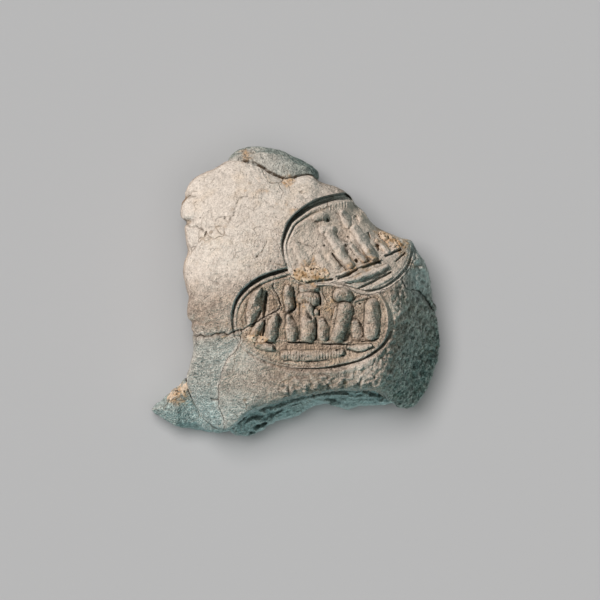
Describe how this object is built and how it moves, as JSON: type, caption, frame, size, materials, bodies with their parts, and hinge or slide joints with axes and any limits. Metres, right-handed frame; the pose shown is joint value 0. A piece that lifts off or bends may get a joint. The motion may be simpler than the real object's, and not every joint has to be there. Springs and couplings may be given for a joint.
{
  "type": "clay bulla",
  "caption": "Hand-pressed lump of clay that sealed a tied package, with two overlapping impressions of one oval figured seal, a string tunnel and a flat bed.",
  "frame": {"origin": "on the flat bed that lay against the package, under the middle of the bulla's outline", "axes": "+Z is the way the stamped face looks, +Y is the top of the seal impressions, +X is to the right of them"},
  "size_m": [0.032, 0.032, 0.0158],
  "materials": {
    "pale_clay": "matte",
    "warm_clay": "matte",
    "grey_clay": "matte",
    "dark_clay": "matte",
    "green_clay": "matte",
    "burial_soil": "matte"
  },
  "bodies": {
    "root": {"crown": "pale_clay", "front_lobe": "warm_clay", "left_cheek": "grey_clay", "right_shoulder": "dark_clay", "inner_core": "green_clay", "back_wad": "grey_clay", "top_lap": "dark_clay", "corner_spur": "green_clay", "crust_second_stamp": "burial_soil", "crust_broken_edge": "burial_soil", "crust_first_stamp": "burial_soil", "crust_top_notch": "burial_soil", "crust_spur": "burial_soil"}
  },
  "joints": []
}
